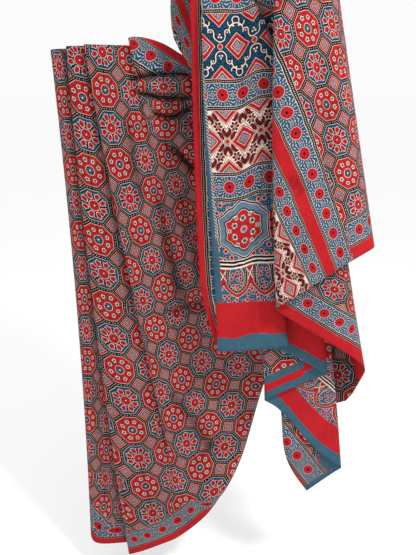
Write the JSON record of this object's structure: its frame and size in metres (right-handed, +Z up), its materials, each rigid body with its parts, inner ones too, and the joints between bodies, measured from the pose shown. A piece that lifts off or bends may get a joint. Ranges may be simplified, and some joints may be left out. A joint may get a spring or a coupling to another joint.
{
  "type": "ajrakh cloth",
  "caption": "Long block-printed cotton cloth hung by its top edge, pleated at the left, gathered behind a straight end panel and folded forward at the right",
  "frame": {"origin": "middle of the top edge the cloth hangs by", "axes": "+Z up, the front faces -Y, +X to the right as seen from the front"},
  "size_m": [0.5986, 0.2532, 1.2583],
  "materials": {
    "ajrakh_cotton": "matt block-printed cotton in madder red, indigo, cream and black"
  },
  "bodies": {
    "root": {"cloth": "ajrakh_cotton"}
  },
  "joints": []
}
